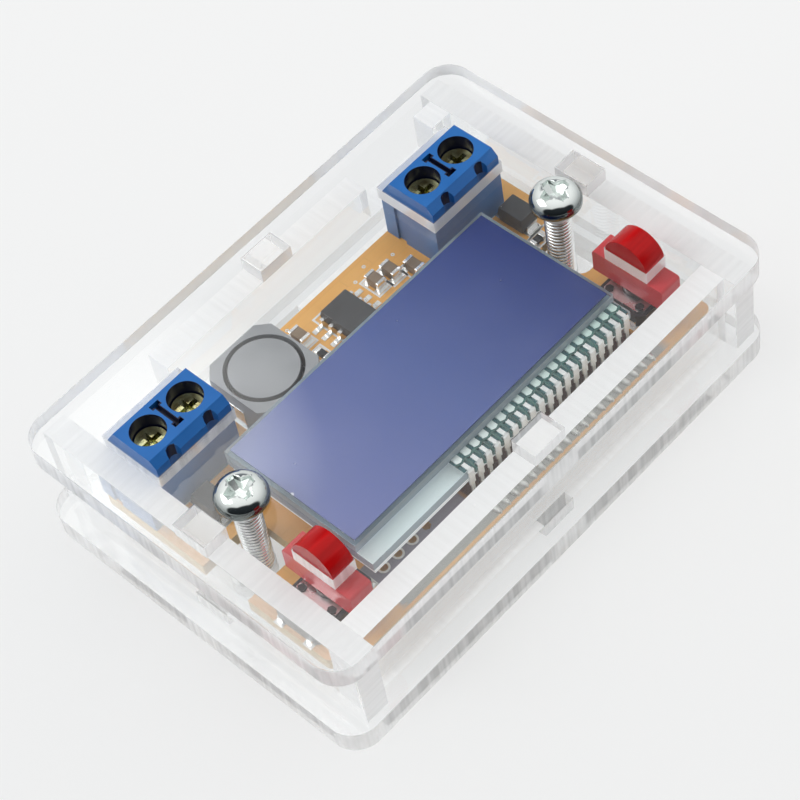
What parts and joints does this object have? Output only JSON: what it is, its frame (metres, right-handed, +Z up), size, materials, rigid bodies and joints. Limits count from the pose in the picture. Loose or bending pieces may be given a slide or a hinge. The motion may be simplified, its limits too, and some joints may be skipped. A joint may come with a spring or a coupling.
{
  "type": "buck converter module",
  "caption": "Adjustable step-down converter module in a clear acrylic case, with a blank liquid crystal display, red push buttons and blue screw terminals.",
  "frame": {"origin": "centre of the bottom plate's outline, at its lower face", "axes": "+X along the long side toward the right terminal, +Y toward the terminals' wire side, +Z up out of the display"},
  "size_m": [0.062, 0.0432, 0.017],
  "materials": {
    "clear_acrylic": "polished faces, laser-cut edges",
    "board_laminate": "lacquered",
    "plated_steel": "bright zinc plate",
    "display_glass": "polished",
    "polariser_film": "smooth",
    "white_panel": "satin",
    "grey_foam": "open cell",
    "tinned_metal": "bright tin",
    "blue_plastic": "moulded satin",
    "brass": "bright",
    "solder": "bright",
    "ferrite": "ground ceramic",
    "copper_wire": "enamelled",
    "black_mould": "matt",
    "ceramic_body": "matt",
    "red_acrylic": "polished faces, laser-cut edges",
    "black_plastic": "moulded satin"
  },
  "bodies": {
    "case": {"bottom_plate": "clear_acrylic", "top_plate": "clear_acrylic", "left_wall": "clear_acrylic", "right_wall": "clear_acrylic", "front_wall": "clear_acrylic", "back_wall": "clear_acrylic", "case_screws": "plated_steel", "circuit_board": "board_laminate", "display_front_film": "polariser_film", "display_front_glass": "display_glass", "display_rear_glass": "display_glass", "display_rear_film": "polariser_film", "backlight_panel": "white_panel", "display_foam_pads": "grey_foam", "display_pins": "tinned_metal", "left_terminal_housing": "blue_plastic", "right_terminal_housing": "blue_plastic", "terminal_contacts": "tinned_metal", "solder_joints": "solder", "inductor_shell": "ferrite", "inductor_core": "ferrite", "inductor_winding": "copper_wire", "inductor_clips": "tinned_metal", "converter_chip": "black_mould", "converter_chip_leads": "tinned_metal", "controller_chip": "black_mould", "controller_chip_leads": "tinned_metal", "ceramic_capacitors": "ceramic_body", "chip_resistors": "black_mould", "small_part_ends": "tinned_metal", "diodes": "black_mould", "diode_tabs": "tinned_metal", "left_switch_cover": "tinned_metal", "left_switch_base": "black_plastic", "left_switch_dome": "tinned_metal", "left_switch_legs": "tinned_metal", "right_switch_cover": "tinned_metal", "right_switch_base": "black_plastic", "right_switch_dome": "tinned_metal", "right_switch_legs": "tinned_metal"},
    "left_button": {"left_button_cap": "red_acrylic", "left_switch_plunger": "black_plastic"},
    "right_button": {"right_button_cap": "red_acrylic", "right_switch_plunger": "black_plastic"},
    "clamp_screw_1": {"terminal_screw_1": "brass"},
    "clamp_1": {"clamp_cage_1": "brass"},
    "clamp_screw_2": {"terminal_screw_2": "brass"},
    "clamp_2": {"clamp_cage_2": "brass"},
    "clamp_screw_3": {"terminal_screw_3": "brass"},
    "clamp_3": {"clamp_cage_3": "brass"},
    "clamp_screw_4": {"terminal_screw_4": "brass"},
    "clamp_4": {"clamp_cage_4": "brass"}
  },
  "joints": [
    {"name": "left_button_press", "type": "slide", "parent": "case", "child": "left_button", "axis": [0, 0, -1], "range_m": [0, 0.00025], "stiffness_N_per_m": 4000, "springref_m": -0.0001, "deforming": ["left_switch_dome"]},
    {"name": "right_button_press", "type": "slide", "parent": "case", "child": "right_button", "axis": [0, 0, -1], "range_m": [0, 0.00025], "stiffness_N_per_m": 4000, "springref_m": -0.0001, "deforming": ["right_switch_dome"]},
    {"name": "clamp_screw_1_turn", "type": "hinge", "parent": "case", "child": "clamp_screw_1", "pos_m": [-0.02295, 0.0108, 0.0134], "axis": [0, 0, -1], "range_deg": [0, 1120]},
    {"name": "clamp_1_rise", "type": "slide", "parent": "case", "child": "clamp_1", "axis": [0, 0, 1], "range_m": [0, 0.0014]},
    {"name": "clamp_screw_2_turn", "type": "hinge", "parent": "case", "child": "clamp_screw_2", "pos_m": [-0.01795, 0.0108, 0.0134], "axis": [0, 0, -1], "range_deg": [0, 1120]},
    {"name": "clamp_2_rise", "type": "slide", "parent": "case", "child": "clamp_2", "axis": [0, 0, 1], "range_m": [0, 0.0014]},
    {"name": "clamp_screw_3_turn", "type": "hinge", "parent": "case", "child": "clamp_screw_3", "pos_m": [0.016, 0.0108, 0.0134], "axis": [0, 0, -1], "range_deg": [0, 1120]},
    {"name": "clamp_3_rise", "type": "slide", "parent": "case", "child": "clamp_3", "axis": [0, 0, 1], "range_m": [0, 0.0014]},
    {"name": "clamp_screw_4_turn", "type": "hinge", "parent": "case", "child": "clamp_screw_4", "pos_m": [0.021, 0.0108, 0.0134], "axis": [0, 0, -1], "range_deg": [0, 1120]},
    {"name": "clamp_4_rise", "type": "slide", "parent": "case", "child": "clamp_4", "axis": [0, 0, 1], "range_m": [0, 0.0014]}
  ],
  "couplings": [
    {"joint": "clamp_screw_1_turn", "follows": "clamp_1_rise", "rad_per_m": 13963},
    {"joint": "clamp_screw_2_turn", "follows": "clamp_2_rise", "rad_per_m": 13963},
    {"joint": "clamp_screw_3_turn", "follows": "clamp_3_rise", "rad_per_m": 13963},
    {"joint": "clamp_screw_4_turn", "follows": "clamp_4_rise", "rad_per_m": 13963}
  ]
}
